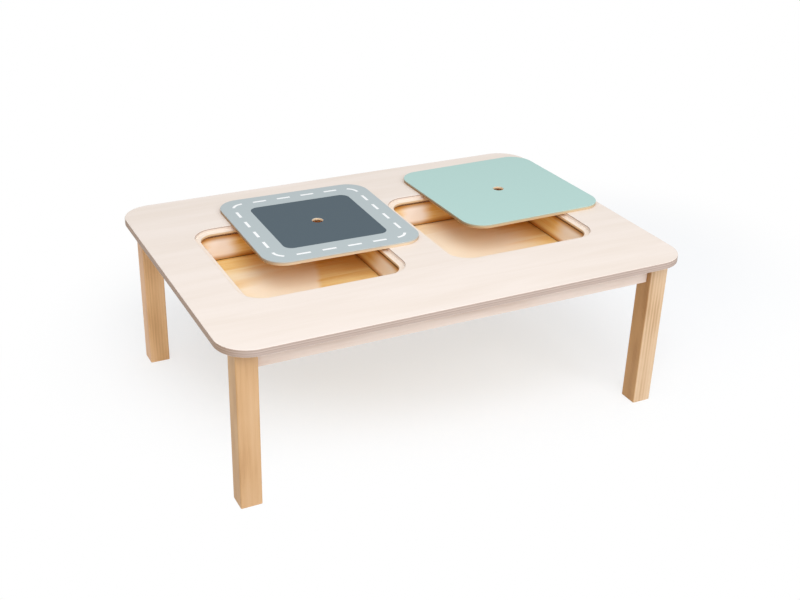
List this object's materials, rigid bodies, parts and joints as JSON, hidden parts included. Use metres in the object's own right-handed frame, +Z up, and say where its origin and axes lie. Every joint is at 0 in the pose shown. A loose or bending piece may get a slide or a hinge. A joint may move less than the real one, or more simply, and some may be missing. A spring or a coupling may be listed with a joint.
{
  "type": "kids table with storage",
  "caption": "Low birch play table with two storage trays under its top, each closed by a square lid with a finger hole; both lids lie lifted off on the top.",
  "frame": {"origin": "on the floor, under the middle of the table", "axes": "+X along the long side of the top, to the right seen from the front; +Y from the front to the back; +Z up"},
  "size_m": [1, 0.7, 0.358],
  "materials": {
    "birch_plywood_top": "clear satin lacquer over pale birch plywood",
    "beech_leg": "clear satin lacquer over solid tan hardwood, grain upright",
    "birch_apron": "clear satin lacquer over solid birch",
    "tray_plywood": "warm honey lacquer over plywood",
    "block_hardwood": "sanded, unlacquered",
    "road_lid_print": "grey painted face with a road print over birch plywood, bare edge",
    "plain_lid_paint": "mint painted face over birch plywood, bare edge",
    "dowel_beech": "turned beech",
    "zinc_steel": "bright zinc plate",
    "yellow_zinc_steel": "yellow passivated zinc plate",
    "brass_insert": "machined"
  },
  "bodies": {
    "table": {"tabletop": "birch_plywood_top", "leg_front_left": "beech_leg", "leg_front_right": "beech_leg", "leg_back_left": "beech_leg", "leg_back_right": "beech_leg", "apron_front": "birch_apron", "apron_back": "birch_apron", "apron_left": "birch_apron", "apron_right": "birch_apron", "centre_rail": "birch_apron", "rail_dowels": "dowel_beech", "corner_block_front_left": "block_hardwood", "corner_block_front_right": "block_hardwood", "corner_block_back_left": "block_hardwood", "corner_block_back_right": "block_hardwood", "left_tray_front": "tray_plywood", "left_tray_back": "tray_plywood", "left_tray_outer_side": "tray_plywood", "left_tray_inner_side": "tray_plywood", "left_tray_floor": "tray_plywood", "left_tray_cleats": "block_hardwood", "right_tray_front": "tray_plywood", "right_tray_back": "tray_plywood", "right_tray_outer_side": "tray_plywood", "right_tray_inner_side": "tray_plywood", "right_tray_floor": "tray_plywood", "right_tray_cleats": "block_hardwood", "leg_bolts": "zinc_steel", "leg_washers": "zinc_steel", "leg_inserts": "brass_insert", "block_screws": "yellow_zinc_steel", "apron_screws": "yellow_zinc_steel", "cleat_screws": "yellow_zinc_steel", "tray_floor_screws": "yellow_zinc_steel"},
    "left_lid": {"road_lid": "road_lid_print"},
    "right_lid": {"plain_lid": "plain_lid_paint"}
  },
  "joints": [
    {"name": "left_lid_lift", "type": "slide", "parent": "table", "child": "left_lid", "axis": [0, 0, 1], "range_m": [0, 0.15]},
    {"name": "right_lid_lift", "type": "slide", "parent": "table", "child": "right_lid", "axis": [0, 0, 1], "range_m": [0, 0.15]}
  ]
}
